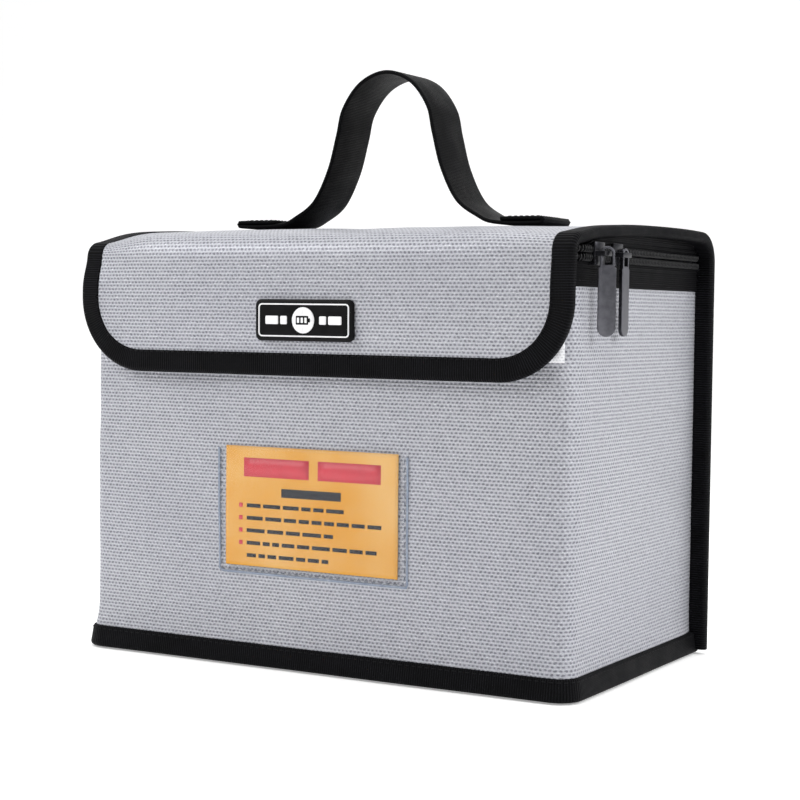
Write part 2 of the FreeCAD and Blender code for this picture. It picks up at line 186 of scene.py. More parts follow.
def sheet_mesh(name, outer, inner, uv, material, body=None):
    """A closed thin sheet between an outer and an inner grid of points, with its four edges joined."""
    rows, columns = outer.shape[:2]
    quads, _, _ = grid_faces(rows, columns)
    count = rows * columns
    back = (quads + count)[:, ::-1]
    rim = np.concatenate([
        np.arange(columns), np.arange(1, rows) * columns + columns - 1,
        (rows - 1) * columns + np.arange(columns - 2, -1, -1), np.arange(rows - 2, 0, -1) * columns,
    ])
    following = np.roll(rim, -1)
    edge = np.stack([rim, rim + count, following + count, following], -1)[:, ::-1]
    faces = np.concatenate([quads, back, edge])
    flat = np.concatenate([uv.reshape(-1, 2), uv.reshape(-1, 2)])
    points = np.concatenate([outer.reshape(-1, 3), inner.reshape(-1, 3)])
    return place(name, points, faces.tolist(), flat[faces.ravel()], material, body)


def unit(vectors):
    """Vectors scaled to length one."""
    return vectors / np.maximum(np.linalg.norm(vectors, axis=-1, keepdims=True), 1e-9)


def travelled(points, wrap=False):
    """Distance along a row of points, from its first point."""
    steps = np.linalg.norm(np.diff(points, axis=0), axis=-1)
    total = np.concatenate([[0], np.cumsum(steps)])
    if wrap:
        total = np.append(total, total[-1] + np.linalg.norm(points[0] - points[-1]))
    return total


def read_at(at, along, values):
    """Points or directions read off at distances along a path, from those given at the distances along."""
    return np.stack([np.interp(at, along, column) for column in values.T], -1)


def evenly(points, step):
    """The same path with points about one step apart."""
    along = travelled(points)
    count = max(int(round(along[-1] / step)) + 1, 3)
    return read_at(np.linspace(0, along[-1], count), along, points)


def bend_through(points, count):
    """A smooth path through a few points: between two of them it is a Catmull-Rom cubic."""
    points = np.asarray(points, float)
    padded = np.concatenate([[2 * points[0] - points[1]], points, [2 * points[-1] - points[-2]]])
    at = np.linspace(0, len(points) - 1 - 1e-6, count)
    k = at.astype(int)
    t = (at - k)[:, None]
    a, b, c, d = padded[k], padded[k + 1], padded[k + 2], padded[k + 3]
    square, cube = 2 * a - 5 * b + 4 * c - d, 3 * b - a - 3 * c + d
    return 0.5 * (2 * b + (c - a) * t + square * t ** 2 + cube * t ** 3)


def arc(centre, radius, start_deg, end_deg, count):
    """Points on a circular arc in two dimensions."""
    angle = np.radians(np.linspace(start_deg, end_deg, count))
    return np.stack([centre[0] + radius * np.cos(angle), centre[1] + radius * np.sin(angle)], -1)


def soft_bar(width, thickness, corner, per_corner=8):
    """Anticlockwise outline of a rectangle with round corners, such as a folded tape's cross-section."""
    half_w, half_t = width / 2 - corner, thickness / 2 - corner
    return np.concatenate([arc((sx * half_w, sy * half_t), corner, start, start + 90, per_corner)
                           for sx, sy, start in ((1, 1, 0), (-1, 1, 90), (-1, -1, 180), (1, -1, 270))])


def sweep(name, path, wide, thick, section, material, body=None, closed=False):
    """A section carried along a path: each point is path + section x times wide + section y times thick."""
    points = path[:, None] + section[None, :, :1] * wide[:, None] + section[None, :, 1:] * thick[:, None]
    around = travelled(section, wrap=True)
    along = np.gradient(path, axis=0)
    turn = np.einsum("ij,ij->i", np.cross(wide, thick), along)
    return tube_mesh(name, points, travelled(path, wrap=closed), around, material, body, closed,
                     flip=turn.sum() < 0)


FORWARD = np.array([0.0, -1.0, 0.0])
UPWARD = np.array([0.0, 0.0, 1.0])


def all_along(way, path):
    """The same direction at each point of a path."""
    return np.tile(way, (len(path), 1))


def to_the_right(along):
    """Directions in a plan, turned a quarter to the right: outward from an anticlockwise path."""
    return unit(along)[:, ::-1] * [1, -1]


def ease(x):
    """Smooth step from 0 to 1."""
    x = np.clip(x, 0, 1)
    return x * x * (3 - 2 * x)


def ripples(u, v, seed):
    """Slow, uneven waves in cloth: a sum of sines with fixed random directions and phases, about -1 to 1."""
    draw = np.random.default_rng(seed)
    total = np.zeros(np.broadcast(u, v).shape)
    for length in range(28, 125, 16):
        angle, phase = draw.uniform(0, 2 * np.pi, 2)
        total = total + np.sin(2 * np.pi * (u * np.cos(angle) + v * np.sin(angle)) / length + phase)
    return total / 4


# ---- shapes of the bag

def wall_path(offset, rear_y, step=2.0):
    """Plan of the left, front and right walls: two straight sides and a front joined by round folds.
    Gives points, outward directions and the distance along, all from the rear left corner."""
    x, y, r = HALF_W + offset, FRONT_Y - offset, FOLD_R + offset
    left = np.array([[-x, rear_y], [-x, y + r]])
    right = np.array([[x, y + r], [x, rear_y]])
    plan = np.concatenate([left, arc((-x + r, y + r), r, 180, 270, 12)[1:-1], [[-x + r, y], [x - r, y]],
                           arc((x - r, y + r), r, 270, 360, 12)[1:-1], right])
    plan = evenly(plan, step)
    return plan, to_the_right(np.gradient(plan, axis=0)), travelled(plan)


def wall_swell(x, y, z, along):
    """How far the padded wall stands out: a belly on each face, a flare into the base seam, and ripples."""
    up = np.clip((z - BASE_TAPE_TOP) / (TAPE_LOW - BASE_TAPE_TOP), 0, 1)
    belly = np.sin(np.pi * up) ** 0.8
    on_front = np.clip(1 - (x / (HALF_W - 2)) ** 2, 0, 1) ** 0.6
    on_side = np.clip(1 - ((y - FRONT_Y / 2 - BACK_Y / 2) / (BACK_Y - 2)) ** 2, 0, 1) ** 0.6
    is_front = ease((FRONT_Y + 8 - y) / 6)
    swell = belly * (FRONT_BELLY * on_front * is_front + SIDE_BELLY * on_side * (1 - is_front))
    skirt = SEAM_FLARE * np.exp(-((z - BASE_TAPE_TOP + 2) / 7) ** 2)
    return 0.4 + swell + skirt * (up < 1) + 0.35 * belly * ripples(along, z * 1.3, 11)


def off_plan(plan, out, lift, z):
    """Points that stand off a plan by a lift, at heights z: one row for each point of the plan."""
    return surface_points(plan[:, :1] + out[:, :1] * lift, plan[:, 1:] + out[:, 1:] * lift, z)


def front_swell(x, z):
    """The front wall's swell at a place on it."""
    return wall_swell(x, FRONT_Y, z, x + HALF_W + BACK_Y - FRONT_Y)


def dome(y):
    """Height of the lid's skin at a depth: a parabola that peaks towards the rear."""
    return CROWN_Z - DOME_RISE * ((y - CROWN_Y) / (CROWN_Y - FRONT_Y)) ** 2


def spine():
    """Side view of the long outer panel as (y, z): up the back, round the top rear corner, over the dome,
    round the nose and down the flap."""
    rear_y = BACK_Y - REAR_R
    rear_z = dome(rear_y) - REAR_R
    nose_z = dome(NOSE_Y) - NOSE_R
    dome_y = np.linspace(rear_y, NOSE_Y, 60)
    line = np.concatenate([
        [[BACK_Y, 1.5], [BACK_Y, rear_z]],
        arc((rear_y, rear_z), REAR_R, 0, 90, 16)[1:-1],
        np.stack([dome_y, dome(dome_y)], -1),
        arc((NOSE_Y, nose_z), NOSE_R, 90, 180, 16)[1:],
        [[FLAP_Y, FLAP_LOW]],
    ])
    return evenly(line, 0.5)


SPINE = spine()
SPINE_OUT = unit(np.gradient(SPINE, axis=0))[:, ::-1] * np.array([1, -1])
SPINE_S = travelled(SPINE)
# The rear half of the long panel meets the front half under the lid's rear part.
OFF_LID = 1e3 * (SPINE[:, 1] < FRONT_EDGE_Z - 5)
SEAM_S = SPINE_S[np.argmin(np.abs(SPINE[:, 0] - (BACK_Y - REAR_R - 5)) + OFF_LID)]
NOSE_S = SPINE_S[-1] - (FLAP_TOP - FLAP_LOW)


def on_spine(s):
    """Point and outward direction of the panel's side view at a distance along it."""
    return read_at(s, SPINE_S, SPINE), unit(read_at(s, SPINE_S, SPINE_OUT))


def flare(s):
    """How far the panel's side edges stand out from the walls: full up the back, none from mid-lid on."""
    y = np.interp(s, SPINE_S, SPINE[:, 0])
    return TAPE_FLARE * ease((y - BACK_Y + 62) / 52)


def panel_half(s):
    """Half width of the long panel at a distance along it, with the flap's round lower corners."""
    z = np.interp(s, SPINE_S, SPINE[:, 1])
    on_flap = s > NOSE_S
    rise = np.clip(FLAP_LOW + FLAP_CORNER_R - z, 0, FLAP_CORNER_R - 1)
    corner = FLAP_CORNER_R - 1 - np.sqrt(np.maximum((FLAP_CORNER_R - 1) ** 2 - rise ** 2, 0))
    return HALF_W + flare(s) + 1.2 * ease((s - NOSE_S + 10) / 10) - np.where(on_flap, corner, 0)


def droop(x, s):
    """How far the lid's soft front corners sag where the nose ends: more on the left than on the right."""
    side = np.where(x < 0, LEFT_DROOP, RIGHT_DROOP) * ease((np.abs(x) - HALF_W + 34) / 34)
    return side * np.exp(-((s - NOSE_S + 8) / 19) ** 2) * ease((NOSE_S + 15 - s) / 14)


def panel_swell(x, s):
    """How far the padded long panel stands out: a cushion on the back, the lid and the flap, with ripples."""
    across = np.clip(1 - np.abs(x / (HALF_W - 8)) ** 4, 0, 1)
    lid = ease((s - SEAM_S) / 15) * ease((NOSE_S - 4 - s) / 22)
    flap = ease((s - NOSE_S + 12) / 16) * ease((SPINE_S[-1] - 8 - s) / 14)
    back = ease((s - 6) / 30) * ease((SLOT_LOW - 10 - s) / 30)
    belly = LID_BELLY * lid + FLAP_BELLY * flap + BACK_BELLY * back
    return across * (belly + 0.3 * (lid + flap + back) * ripples(x, s, 5))


def panel(s, sink):
    """The long panel as a surface of the distance across and along, sunk below its skin by a depth."""
    point, out = on_spine(s)
    x = panel_half(s)[:, None] * np.linspace(-1, 1, PANEL_COLUMNS)[None]
    lift = panel_swell(x, s[:, None]) - droop(x, s[:, None]) - sink
    y = point[:, :1] + out[:, :1] * lift
    z = point[:, 1:] + out[:, 1:] * lift
    return surface_points(x, y, z), surface_points(x, s[:, None])


def panel_piece(name, s0, s1, top, bottom, material):
    """A layer of the long panel between two distances along it and two depths."""
    s = np.linspace(s0, s1, int((s1 - s0) / PANEL_STEP) + 2)
    outer, uv = panel(s, top)
    inner, _ = panel(s, bottom)
    return sheet_mesh(name, outer, inner, uv, material)


def edge_path(s, side):
    """Middle line of the edge tape along one side of the long panel, and the panel's outward direction."""
    point, out = on_spine(s)
    x = side * (FLAP_HALF - TAPE_W / 2 + flare(s))
    middle = point - out * (PANEL_T / 2 + droop(x, s))[:, None]
    return surface_points(x, middle[:, 0], middle[:, 1]), surface_points(0.0, out[:, 0], out[:, 1])


def across_path(path, out):
    """Directions square to a path that lie in the surface whose outward directions are given."""
    return unit(np.cross(out, unit(np.gradient(path, axis=0))))


def edge_tape(name, path, out):
    """Folded edge tape along a path on a panel: it lies in the panel, square to the path."""
    return sweep(name, path, across_path(path, out), out, soft_bar(TAPE_W, TAPE_T, 1.9), TAPE)


def pad(name, centre, half_w, half_h, radius, profile, material, body, follow, ring=False):
    """A moulded plate facing the front: its outline shrinks by each inset of the profile while it rises by
    that step's height. follow(x, z) is the height of the surface that it lies on. A ring is hollow."""
    rings = []
    for inset, height in profile:
        flat = soft_bar(2 * (half_w - inset), 2 * (half_h - inset), max(radius - inset, SHARPEST_CORNER))
        x, z = centre[0] + flat[:, 0], centre[2] + flat[:, 1]
        rings.append(np.stack([x, centre[1] - height - follow(x, z), z], -1))
    rings = np.stack(rings)
    around = travelled(rings[0], wrap=True)
    steps = travelled(rings[:, 0], wrap=ring)
    return tube_mesh(name, rings, steps, around, material, body, closed=ring)


def stitches(name, path, out, pitch, material, body, width=0.42):
    """A row of thread stitches along a path: small pillows of six-sided rings, each as long as a share of the
    pitch and raised a little off the cloth."""
    length, lift, sides = 0.62 * pitch, 0.12, 6
    total = travelled(path)
    count = max(int(total[-1] / pitch), 1)
    at = (np.arange(count) + 0.5) * total[-1] / count
    centre = read_at(at, total, path)
    up = unit(read_at(at, total, out))
    along = unit(read_at(at, total, np.gradient(path, axis=0)))
    wide = np.cross(up, along)
    angle = (np.arange(sides) * 2 * np.pi / sides)[None, :, None]
    shape = np.array([[-0.5, 0.25], [-0.32, 0.9], [0.32, 0.9], [0.5, 0.25]])
    rows = []
    for where, swell in shape:
        middle = centre + along * (where * length) + up * lift
        spoke = np.cos(angle) * wide[:, None] + np.sin(angle) * up[:, None]
        rows.append(middle[:, None] + spoke * (width / 2 * swell))
    points = np.stack(rows, 1)
    quads, _, _ = grid_faces(len(shape), sides, False, True)
    base = np.arange(count)[:, None, None] * len(shape) * sides
    faces = (quads[None] + base).reshape(-1, 4)[:, ::-1].tolist()
    first = np.arange(sides)[None]
    last = (len(shape) - 1) * sides + first[:, ::-1]
    faces += np.concatenate([first + base[:, 0], last + base[:, 0]]).tolist()
    corners = sum(len(f) for f in faces)
    return place(name, points.reshape(-1, 3), faces, np.zeros((corners, 2)), material, body)


# ---- materials

def linear(hex_colour):
    """An sRGB hex colour as linear RGBA."""
    values = [int(hex_colour[k:k + 2], 16) / 255 for k in (0, 2, 4)]
    return [v / 12.92 if v <= 0.04045 else ((v + 0.055) / 1.055) ** 2.4 for v in values] + [1.0]


def add(tree, kind, sockets=None, **settings):
    """A shader node with its settings. A socket's value is a number, a colour or another node's output."""
    node = tree.nodes.new(kind)
    for key, value in settings.items():
        setattr(node, key, value)
    for key, value in (sockets or {}).items():
        if isinstance(value, bpy.types.NodeSocket):
            tree.links.new(value, node.inputs[key])
        else:
            node.inputs[key].default_value = value
    return node


def surface(name, **sockets):
    """A material with one Principled shader. Returns the material, its node tree and the shader."""
    material = bpy.data.materials.new(name)
    material.use_nodes = True
    tree = material.node_tree
    shader = tree.nodes["Principled BSDF"]
    for key, value in sockets.items():
        shader.inputs[key.replace("_", " ")].default_value = value
    return material, tree, shader


def blend_colours(tree, factor, a, b):
    """A colour between a and b."""
    mix = add(tree, "ShaderNodeMix", {0: factor, 6: a, 7: b}, data_type="RGBA")
    return mix.outputs[2]


def uneven(tree, scale, detail=3.0):
    """Noise stretched to 0 to 1, for slow variation of a colour or a roughness. scale is blobs per metre."""
    place_at = add(tree, "ShaderNodeTexCoord").outputs["Object"]
    noise = add(tree, "ShaderNodeTexNoise", {"Vector": place_at, "Scale": scale, "Detail": detail})
    return add(tree, "ShaderNodeMapRange", {0: noise.outputs[0], 1: 0.35, 2: 0.65}).outputs[0]


def calc(tree, operation, a, b=0.0, c=0.0):
    """One arithmetic step."""
    return add(tree, "ShaderNodeMath", {0: a, 1: b, 2: c}, operation=operation).outputs[0]


def across_uv(tree):
    """The piece's own UV map, in metres, as two numbers."""
    uv = add(tree, "ShaderNodeUVMap", uv_map="UVMap").outputs[0]
    parts = add(tree, "ShaderNodeSeparateXYZ", {0: uv})
    return parts.outputs[0], parts.outputs[1]


def wire(tree, shader, colour, rough, height, depth_mm):
    """A shader's colour, roughness and relief: a height of 0 to 1 and its real depth."""
    bump = add(tree, "ShaderNodeBump", {"Height": height, "Distance": depth_mm * MM})
    for socket, value in (("Base Color", colour), ("Roughness", rough), ("Normal", bump.outputs[0])):
        tree.links.new(value, shader.inputs[socket])


def soft_step(tree, value, low, high, start=0.0, end=1.0):
    """A smooth ramp from start to end while a value goes from low to high."""
    sockets = {0: value, 1: low, 2: high, 3: start, 4: end}
    return add(tree, "ShaderNodeMapRange", sockets, interpolation_type="SMOOTHSTEP").outputs[0]


def glass_cloth(name, pit_colour, thread_colour, tint_colour, across_mm, along_mm, rough, metal, depth_mm):
    """Woven glass-fibre cloth with an aluminised coating: satin silver, with a small staggered pit wherever
    two threads cross, which gives rows of fine dark dots and a soft broad highlight. The thread crests
    between the pits are painted lighter as a painted highlight."""
    material, tree, shader = surface(name, Metallic=metal, IOR=1.5)
    u, v = across_uv(tree)
    row = calc(tree, "DIVIDE", v, along_mm * MM)
    shift = calc(tree, "MULTIPLY", calc(tree, "MODULO", calc(tree, "FLOOR", row), 2.0), 0.5)
    column = calc(tree, "ADD", calc(tree, "DIVIDE", u, across_mm * MM), shift)
    sway = add(tree, "ShaderNodeTexNoise", {"Vector": add(tree, "ShaderNodeTexCoord").outputs["Object"],
                                            "Scale": 900.0, "Detail": 1.0}).outputs[0]
    jitter = calc(tree, "MULTIPLY_ADD", sway, 0.5, -0.75)
    du = calc(tree, "MULTIPLY", calc(tree, "ADD", calc(tree, "FRACT", column), jitter), 0.75)
    dv = calc(tree, "ADD", calc(tree, "FRACT", row), jitter)
    round_off = calc(tree, "ADD", calc(tree, "MULTIPLY", du, du), calc(tree, "MULTIPLY", dv, dv))
    pit = soft_step(tree, round_off, 0.01, 0.12, start=1.0, end=0.0)
    crest = soft_step(tree, round_off, 0.2, 0.36)
    worn = uneven(tree, 700.0)
    slow = uneven(tree, 14.0, 1.0)
    threads = blend_colours(tree, slow, linear(thread_colour), linear(tint_colour))
    # Painted highlight: the thread crests between the pits are painted near white.
    threads = blend_colours(tree, calc(tree, "MULTIPLY", crest, 0.6), threads, linear("f2f3f6"))
    colour = blend_colours(tree, calc(tree, "MULTIPLY", pit, calc(tree, "MULTIPLY_ADD", worn, 0.35, 0.6)),
                           threads, linear(pit_colour))
    height = calc(tree, "MULTIPLY_ADD", pit, -0.6, calc(tree, "MULTIPLY_ADD", crest, 0.4, 0.6))
    wire(tree, shader, colour, calc(tree, "MULTIPLY_ADD", worn, 0.1, rough), height, depth_mm)
    return material


def ribbed_tape(name, colour, crest_sheen_colour, rib_mm, rough, depth_mm, lengthwise=False):
    """Woven edge tape or webbing: dull black, with fine ribs right across its length or else along it. The
    rib crests are painted lighter as a painted sheen, a little more in some places than in others.
    """
    material, tree, shader = surface(name, IOR=1.5, Specular_IOR_Level=0.06)
    u, v = across_uv(tree)
    rib_way, thread_way = (v, u) if lengthwise else (u, v)
    rib = calc(tree, "SINE", calc(tree, "MULTIPLY", rib_way, 2 * math.pi / (rib_mm * MM)))
    thread = calc(tree, "SINE", calc(tree, "MULTIPLY", thread_way, 2 * math.pi / (0.6 * rib_mm * MM)))
    height = calc(tree, "MULTIPLY_ADD", thread, 0.12, calc(tree, "MULTIPLY_ADD", rib, 0.38, 0.5))
    worn = uneven(tree, 90.0)
    # Painted sheen: the rib crests are painted lighter, a little more in some places than in others.
    patchy_crest_sheen = calc(tree, "MULTIPLY_ADD", worn, 0.8, 0.5)
    crest = calc(tree, "MULTIPLY", calc(tree, "POWER", height, 3.0), patchy_crest_sheen)
    shade = blend_colours(tree, crest, linear(colour), linear(crest_sheen_colour))
    wire(tree, shader, shade, calc(tree, "MULTIPLY_ADD", worn, 0.12, rough), height, depth_mm)
    return material


def plain(name, colour, other, rough, grain_scale, depth_mm=0.02, **sockets):
    """A moulded, cast or pressed finish: one colour that drifts slightly, with a fine grain in its gloss."""
    material, tree, shader = surface(name, **sockets)
    grain = uneven(tree, grain_scale, 4.0)
    shade = blend_colours(tree, grain, linear(colour), linear(other))
    wire(tree, shader, shade, calc(tree, "MULTIPLY_ADD", grain, 0.08, rough), grain, depth_mm)
    return material


# Aluminised glass-fibre cloth: the threads are about 0.9 mm wide, so the pits stagger every 1.75 by 1.4 mm.
SILVER = glass_cloth("aluminised_glass_cloth", "62636b", "b2b3ba", "acadb5", 1.75, 1.4, 0.4, 0.35, 0.35)
# The facing strip is a closer weave of the same cloth, painted whiter as a painted highlight.
FACING = glass_cloth("bright_glass_cloth", "c4c5ca", "e6e6ea", "dededf", 1.2, 1.0, 0.45, 0.15, 0.08)
# The lining is a finer, duller weave of the same glass cloth.
LINING = glass_cloth("glass_cloth_lining", "9b9ca0", "c9cacd", "bfc0c4", 1.1, 0.9, 0.6, 0.1, 0.08)
# Polyester grosgrain binding with ribs 0.95 mm apart: nearly black, and its crests catch a dull light.
TAPE = ribbed_tape("polyester_grosgrain", "020203", "1d1d21", 0.95, 0.5, 0.28)
# Polypropylene webbing: finer ribs, smoother and a little more lustrous than the binding.
WEBBING = ribbed_tape("polypropylene_webbing", "020203", "0c0c0f", 0.7, 0.42, 0.12)
# Woven polyester zip tape, matte, with a fine lengthwise rib.
ZIP_CLOTH = ribbed_tape("woven_zip_tape", "050506", "151518", 0.8, 0.6, 0.14, lengthwise=True)
# Drawn nylon filament: black with a satin gloss.
NYLON = plain("nylon_filament", "070709", "0f0f12", 0.3, 400.0, Specular_IOR_Level=0.3)
# Die-cast zinc with a gunmetal plating, rubbed slightly brighter in places.
GUNMETAL = plain("gunmetal_plated_zinc", "2c2c30", "38383d", 0.25, 320.0, 0.005, Metallic=0.8)
# The pull's face is the same plating, brushed duller, and painted lighter as a painted reflection.
PULL_FACE = plain("brushed_gunmetal_painted_reflection", "5b5b61", "67676d", 0.36, 500.0, 0.005, Metallic=0.8)
# Injected PVC rubber, matte black.
RUBBER = plain("moulded_pvc_rubber", "050506", "0a0a0c", 0.42, 300.0, Specular_IOR_Level=0.12)
# White PVC filled into the badge's raised lines.
WHITE_PVC = plain("white_pvc", "e6e6e8", "f2f2f3", 0.45, 300.0, 0.01, IOR=1.5)
# Coated card, warm amber with a slightly uneven print.
CARD = plain("coated_amber_card", "dfae62", "d6951c", 0.45, 24.0, 0.005, Specular_IOR_Level=0.2)
RED_INK = plain("red_ink", "cc2233", "c01a2c", 0.45, 200.0, 0.005, IOR=1.5)
DARK_INK = plain("dark_ink", "120f0e", "1d1917", 0.5, 200.0, 0.005, Specular_IOR_Level=0.15)
# Calendered vinyl film: clear, glossy and faintly milky.
FILM = plain("clear_vinyl_film", "c8d0dc", "d4dae4", 0.05, 30.0, 0.0, IOR=1.5, Alpha=0.04)
# Where the film is cut and sewn its edge looks blue-grey.
FILM_EDGE = plain("vinyl_cut_edge", "8d9bb0", "a7b3c4", 0.2, 200.0, 0.0, IOR=1.5, Alpha=0.6)
# Needled glass felt, loose and white.
FELT = plain("needled_glass_felt", "d8d7d2", "f0efe9", 0.95, 900.0, 0.25)
# Hook and loop strip: dark, fuzzy and dull.
FUZZ = plain("hook_and_loop", "101012", "2b2b30", 0.95, 1300.0, 0.5)
# Bonded polyester sewing thread.
THREAD = plain("black_thread", "070709", "131316", 0.6, 900.0, Specular_IOR_Level=0.15)
GREY_THREAD = plain("grey_thread", "5a5f6a", "7c818c", 0.5, 900.0)


# ---- pieces

def outer_walls():
    """The wrap: one strip of cloth round the left, front and right sides, swollen by its padding."""
    plan, out, along = wall_path(0, WRAP_END_Y)
    foot_z, hem, tucked_l, tucked_lift = 1.2, 2, 14, 0.3
    z = np.linspace(foot_z, WALL_TOP, 84)[None]
    x, y = plan[:, :1], plan[:, 1:]
    flattened = np.where(z > WALL_TOP - hem, 0.6, 1.0)
    tuck = ease((y - BACK_Y + tucked_l) / tucked_l)
    swell = wall_swell(x, y, z, along[:, None]) * flattened * (1 - tuck) + tucked_lift * tuck
    outer, inner = (off_plan(plan, out, swell - depth, z) for depth in (0, CLOTH_T))
    walls = sheet_mesh("outer_wrap_cloth", outer, inner, surface_points(along[:, None], z), SILVER, "body")
    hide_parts("outer_wrap")


def base_cloth():
    """The base panel, sagging a little between its taped edges."""
    under_tape, edge_z, sag = 3, 1.1, 0.8
    u, v = grid(np.linspace(-1, 1, 40), np.linspace(-1, 1, 28))
    x, y = u * (HALF_W - under_tape), v * (BACK_Y - under_tape)
    z = edge_z - sag * (1 - u ** 4) * (1 - v ** 4)
    outer = surface_points(x, y, z)[:, ::-1]
    cloth = sheet_mesh("base_cloth", outer, outer + [0, 0, CLOTH_T], outer[..., :2], SILVER, "body")
    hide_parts("base_panel")


def long_panel():
    """The long panel, skin and lining: the back bends into the lid, and the lid rolls over into the flap."""
    start_s, end_s = 6, SPINE_S[-1] - 1
    overlap_s = SEAM_S + 0.6
    rear = panel_piece("back_and_lid_cloth", start_s, overlap_s, 0, SKIN_T, SILVER)
    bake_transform(rear)
    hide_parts("back_panel")
    rear_lining = panel_piece("back_and_lid_lining", start_s, overlap_s, SKIN_T, PANEL_T, LINING)
    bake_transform(rear_lining)
    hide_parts("insulation_lid", "insulation_back")
    front = panel_piece("lid_and_flap_cloth", SEAM_S, end_s, 0, SKIN_T, SILVER)
    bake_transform(front)
    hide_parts("lid_panel", "flap_panel")
    inside = panel_piece("lid_and_flap_lining", SEAM_S, end_s, SKIN_T, PANEL_T, LINING)
    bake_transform(inside)
    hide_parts("lid_lining", "flap_lining", "insulation_flap")


def long_tape():
    """Edge tape down both sides of the back, and in one run along the lid's sides and round the flap."""
    for side, name in ((1, "right"), (-1, "left")):
        s = np.arange(0.5, SEAM_S + 1, 1.0)
        path, out = edge_path(s, side)
        tape = edge_tape("rear_edge_tape_" + name, path, out)
        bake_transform(tape)
        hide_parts("back_binding_" + name)
    turn_r = FLAP_CORNER_R - TAPE_W / 2
    turn_z = FLAP_LOW + FLAP_CORNER_R
    s_turn = SPINE_S[-1] - FLAP_CORNER_R
    side_path, side_out = edge_path(np.arange(SEAM_S, s_turn, 1.0), 1)
    corner = arc((FLAP_HALF - FLAP_CORNER_R, turn_z), turn_r, 0, -90, 40)
    bottom_x = np.linspace(FLAP_HALF - FLAP_CORNER_R, 0, 60)[1:]
    low = np.concatenate([corner, surface_points(bottom_x, turn_z - turn_r)])
    low = surface_points(low[:, 0], side_path[-1, 1], low[:, 1])
    left_path, left_out = edge_path(np.arange(SEAM_S, s_turn, 1.0), -1)
    low_out = all_along(FORWARD, low)
    path = np.concatenate([side_path, low, low[-2::-1] * [-1, 1, 1], left_path[::-1]])
    out = np.concatenate([side_out, low_out, low_out[1:], left_out[::-1]])
    tape = edge_tape("lid_and_flap_edge_tape", path, out)
    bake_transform(tape)
    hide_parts("lid_binding_right", "lid_binding_left", "flap_binding")
    seam = path - across_path(path, out) * (TAPE_W / 2 - 1.3) + out * (TAPE_T / 2)
    on_flap = seam[:, 2] < FLAP_TOP - 1
    stitches("flap_tape_stitches", seam[on_flap], out[on_flap], 2.6, THREAD, "flap")


def base_tape():
    """Edge tape round the base seam: a soft folded band that stands slightly off the wall lower down."""
    plan, _, _ = wall_path(1.0, BACK_Y + 0.4)
    rear = surface_points(np.linspace(plan[-1, 0] - 3, plan[0, 0] + 3, 90), BACK_Y + 1.0)
    loop = np.concatenate([plan[:-1], rear, plan[:1]])
    loop = evenly(loop, 1.2)[:-1]
    outward = to_the_right(np.roll(loop, -1, 0) - np.roll(loop, 1, 0))
    wave = 0.35 * ripples(travelled(loop), 0.0, 23)
    tilt = math.radians(9)
    out3 = add_height(outward, 0)
    wide = UPWARD * math.cos(tilt) - out3 * math.sin(tilt)
    thick = out3 * math.cos(tilt) + UPWARD * math.sin(tilt)
    height, thickness = BASE_TAPE_TOP + 0.6, 3.2
    path = add_height(loop + outward * (0.7 + wave[:, None] * 0.5), height / 2 + 0.35)
    section = soft_bar(height - 0.4, thickness, 1.2)
    tape = sweep("base_edge_tape", path, wide, thick, section, TAPE, "body", closed=True)
    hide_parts("base_binding")
    seam = path + wide * (height / 2 - 1.6) + thick * (thickness / 2)
    stitches("base_tape_stitches", seam, thick, 2.8, THREAD, "body")


def zip_tapes():
    """Upper and lower woven tapes, each with a ridge beside the coil, and a row of stitches on the lower one.
    """
    plan, out, along = wall_path(0.0, TAPE_REAR, step=1.5)
    below_skin, below_nose = 3.0, 3.0
    under_lid = dome(plan[:, 1]) - below_skin - below_nose * ease((FRONT_Y + 22 - plan[:, 1]) / 16)
    for name, node, low, top, body in (
        ("lower_zip_tape_cloth", "zip_tape_lower", TAPE_LOW, np.full(len(plan), SLOT_LOW), "body"),
        ("upper_zip_tape_cloth", "zip_tape_upper", SLOT_HIGH, under_lid, "lid"),
    ):
        z = low + (top - low)[:, None] * np.linspace(0, 1, 26)[None]
        from_coil = np.abs(z - ZIP_Z)
        ridge = 0.35 * np.exp(-((from_coil - 4.1) / 0.5) ** 2)
        groove = 0.25 * np.exp(-((from_coil - 5.2) / 0.4) ** 2)
        relief = 0.9 + ridge - groove + 0.12 * ripples(along[:, None], z, 31)
        outer, inner = (off_plan(plan, out, relief - depth, z) for depth in (0, CLOTH_T))
        tape = sheet_mesh(name, outer, inner, surface_points(along[:, None], z), ZIP_CLOTH, body)
        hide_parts(node)
        if body == "body":
            seam = add_height(plan + out, low + 2.2)
            stitches("zip_tape_stitches", seam, add_height(out, 0), 2.2, THREAD, "body")


def zip_coils():
    """Upper and lower nylon coils: a filament wound in an oval round each tape's edge."""
    pitch, filament, per_turn = 1.5, 0.34, 10
    half_depth, half_height, off_slot = 0.85, 1.2, 1.55
    plan, out, along = wall_path(1.55, COIL_REAR, step=0.5)
    turns = int(along[-1] / pitch)
    s = np.linspace(0, along[-1], turns * per_turn)
    base = read_at(s, along, plan)
    outward = unit(read_at(s, along, out))
    for name, node, centre_z, body, phase in (
        ("lower_zip_coil_filament", "zip_coil_lower", ZIP_Z - off_slot, "body", 0.0),
        ("upper_zip_coil_filament", "zip_coil_upper", ZIP_Z + off_slot, "lid", math.pi),
    ):
        angle = 2 * np.pi * s / pitch + phase
        path = add_height(base + outward * (half_depth * np.cos(angle))[:, None],
                          centre_z + half_height * np.sin(angle))
        heading = unit(np.gradient(path, axis=0))
        radial = add_height(outward * np.cos(angle)[:, None], np.sin(angle))
        wide = unit(np.cross(heading, radial))
        thick = np.cross(wide, heading)
        section = arc((0, 0), filament, 0, 300, 6)
        coil = sweep(name, path, wide, thick, section, NYLON, body)
        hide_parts(node)


